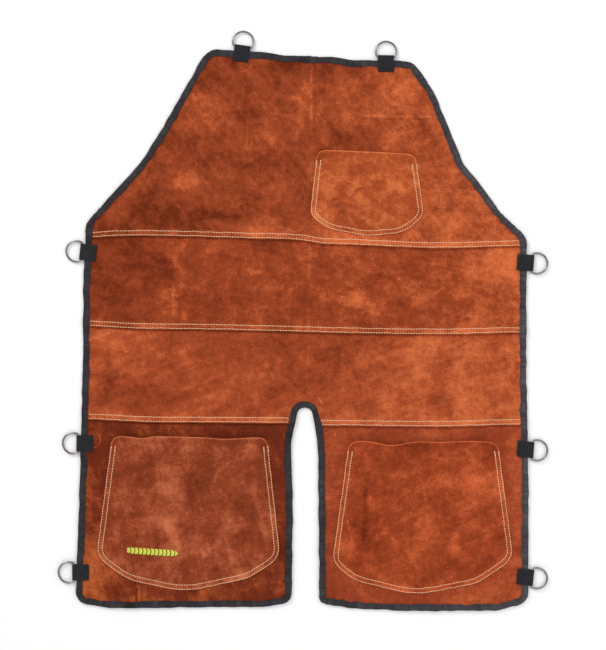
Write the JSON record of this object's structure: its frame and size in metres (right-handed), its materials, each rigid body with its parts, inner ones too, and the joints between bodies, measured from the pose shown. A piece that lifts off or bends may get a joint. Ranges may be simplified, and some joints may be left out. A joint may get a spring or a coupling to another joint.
{
  "type": "split-leg welding apron",
  "caption": "Split-leg leather bib apron laid flat, with bound edges, lapped seams, a chest pocket, thigh pockets and strap rings in webbing tabs.",
  "frame": {"origin": "middle of the apron's underside, on the surface it lies on", "axes": "+Y from the hem to the top of the bib, +X to the viewer's right with the front face up, +Z out of the front face"},
  "size_m": [0.7366, 0.8706, 0.0132],
  "materials": {
    "suede": "brushed split cowhide, mottled orange brown, matt and fuzzy",
    "dark_suede": "the same split cowhide from a darker hide",
    "pocket_suede": "the same split cowhide, lighter piece",
    "tape": "black woven binding tape, matt",
    "webbing": "black woven webbing, slight sheen",
    "nickel": "nickel-plated steel wire, bright",
    "thread": "heat-resistant sewing thread, cream",
    "embroidery": "satin-stitched yellow-green thread"
  },
  "bodies": {
    "waist": {"lower_body_panel": "suede", "upper_body_panel_foot": "suede", "left_leg_panel_head": "dark_suede", "right_leg_panel_head": "suede", "left_waist_binding": "tape", "right_waist_binding": "tape", "slot_binding": "tape", "waist_seam_upper_row": "thread", "waist_seam_lower_row": "thread", "left_leg_seam_upper_row": "thread", "left_leg_seam_lower_row": "thread", "right_leg_seam_upper_row": "thread", "right_leg_seam_lower_row": "thread"},
    "bib": {"bib_panel": "suede", "upper_body_panel": "suede", "bib_binding": "tape", "chest_pocket": "suede", "chest_pocket_outer_row": "thread", "chest_pocket_inner_row": "thread", "bib_seam_upper_row": "thread", "bib_seam_lower_row": "thread", "top_left_tab": "webbing", "top_right_tab": "webbing", "left_shoulder_tab": "webbing", "right_shoulder_tab": "webbing"},
    "left_leg": {"left_leg_panel": "dark_suede", "left_leg_binding": "tape", "left_thigh_pocket": "pocket_suede", "left_thigh_pocket_outer_row": "thread", "left_thigh_pocket_inner_row": "thread", "embroidered_bar": "embroidery", "left_thigh_tab": "webbing", "left_hem_tab": "webbing"},
    "right_leg": {"right_leg_panel": "suede", "right_leg_binding": "tape", "right_thigh_pocket": "pocket_suede", "right_thigh_pocket_outer_row": "thread", "right_thigh_pocket_inner_row": "thread", "right_thigh_tab": "webbing", "right_hem_tab": "webbing"},
    "top_left_ring": {"top_left_ring": "nickel"},
    "top_right_ring": {"top_right_ring": "nickel"},
    "left_shoulder_ring": {"left_shoulder_ring": "nickel"},
    "right_shoulder_ring": {"right_shoulder_ring": "nickel"},
    "left_thigh_ring": {"left_thigh_ring": "nickel"},
    "right_thigh_ring": {"right_thigh_ring": "nickel"},
    "left_hem_ring": {"left_hem_ring": "nickel"},
    "right_hem_ring": {"right_hem_ring": "nickel"}
  },
  "joints": [
    {"name": "bib_fold", "type": "hinge", "parent": "waist", "child": "bib", "pos_m": [0.00004, 0.04586, 0.00515], "axis": [1, 0, 0], "range_deg": [0, 105]},
    {"name": "left_leg_fold", "type": "hinge", "parent": "waist", "child": "left_leg", "pos_m": [0.00004, -0.16364, 0.00515], "axis": [-1, 0, 0], "range_deg": [0, 105]},
    {"name": "right_leg_fold", "type": "hinge", "parent": "waist", "child": "right_leg", "pos_m": [0.00004, -0.16964, 0.00515], "axis": [-1, 0, 0], "range_deg": [0, 105]},
    {"name": "top_left_ring_swing", "type": "hinge", "parent": "bib", "child": "top_left_ring", "pos_m": [-0.09085, 0.41042, 0.0032], "axis": [0.9903, -0.1392, 0], "range_deg": [-120, 120]},
    {"name": "top_right_ring_swing", "type": "hinge", "parent": "bib", "child": "top_right_ring", "pos_m": [0.12461, 0.39536, 0.0032], "axis": [0.9998, -0.0175, 0], "range_deg": [-120, 120]},
    {"name": "left_shoulder_ring_swing", "type": "hinge", "parent": "bib", "child": "left_shoulder_ring", "pos_m": [-0.33184, 0.10332, 0.0032], "axis": [0.1045, 0.9945, 0], "range_deg": [-120, 120]},
    {"name": "right_shoulder_ring_swing", "type": "hinge", "parent": "bib", "child": "right_shoulder_ring", "pos_m": [0.34333, 0.08655, 0.0032], "axis": [-0.0698, -0.9976, 0], "range_deg": [-120, 120]},
    {"name": "left_thigh_ring_swing", "type": "hinge", "parent": "left_leg", "child": "left_thigh_ring", "pos_m": [-0.33686, -0.18406, 0.0032], "axis": [0.0175, 0.9998, 0], "range_deg": [-120, 120]},
    {"name": "right_thigh_ring_swing", "type": "hinge", "parent": "right_leg", "child": "right_thigh_ring", "pos_m": [0.34333, -0.19395, 0.0032], "axis": [-0.0698, -0.9976, 0], "range_deg": [-120, 120]},
    {"name": "left_hem_ring_swing", "type": "hinge", "parent": "left_leg", "child": "left_hem_ring", "pos_m": [-0.34326, -0.37764, 0.0032], "axis": [0, 1, 0], "range_deg": [-120, 120]},
    {"name": "right_hem_ring_swing", "type": "hinge", "parent": "right_leg", "child": "right_hem_ring", "pos_m": [0.34291, -0.3856, 0.0032], "axis": [-0.1045, -0.9945, 0], "range_deg": [-120, 120]}
  ]
}
